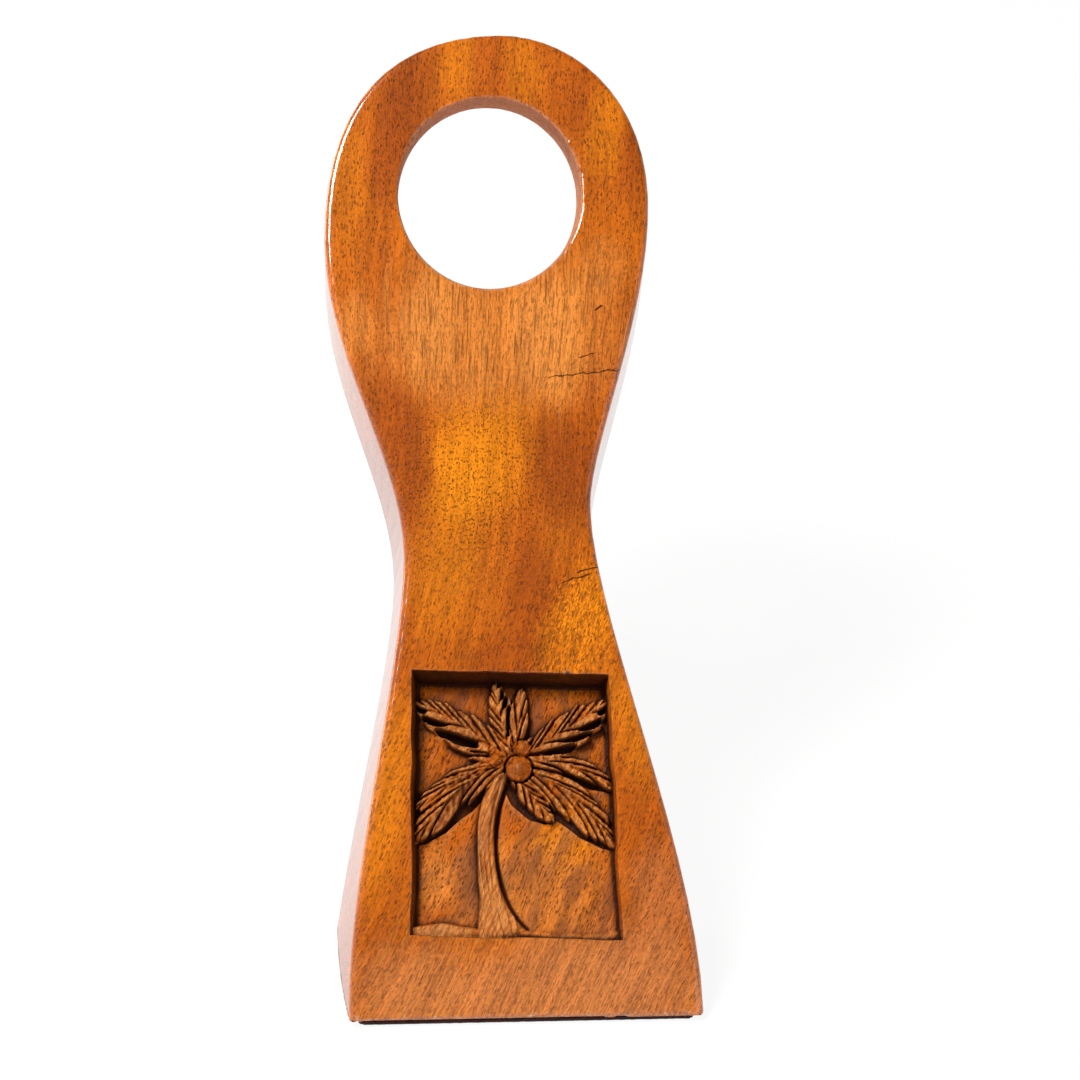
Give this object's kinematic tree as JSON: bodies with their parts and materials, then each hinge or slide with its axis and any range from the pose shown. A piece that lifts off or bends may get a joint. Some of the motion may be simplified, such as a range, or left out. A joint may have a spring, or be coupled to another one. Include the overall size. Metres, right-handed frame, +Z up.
{
  "type": "wine bottle holder",
  "caption": "Leaning carved hardwood holder that balances a wine bottle by its neck in a slanted hole, with a waisted outline, a foot cut level on a thin pad and a palm in a sunk panel.",
  "frame": {"origin": "middle of the foot pad's underside, on the table", "axes": "+Z up, -Y towards the viewer of the carved face, +X to that viewer's right; the plank leans back towards +Y"},
  "size_m": [0.0966, 0.2168, 0.1958],
  "materials": {
    "lacquered_wood": "glossy clear lacquer over figured reddish-brown hardwood",
    "dark_felt": "matte felt"
  },
  "bodies": {
    "root": {"carved_plank": "lacquered_wood", "foot_pad": "dark_felt"}
  },
  "joints": []
}
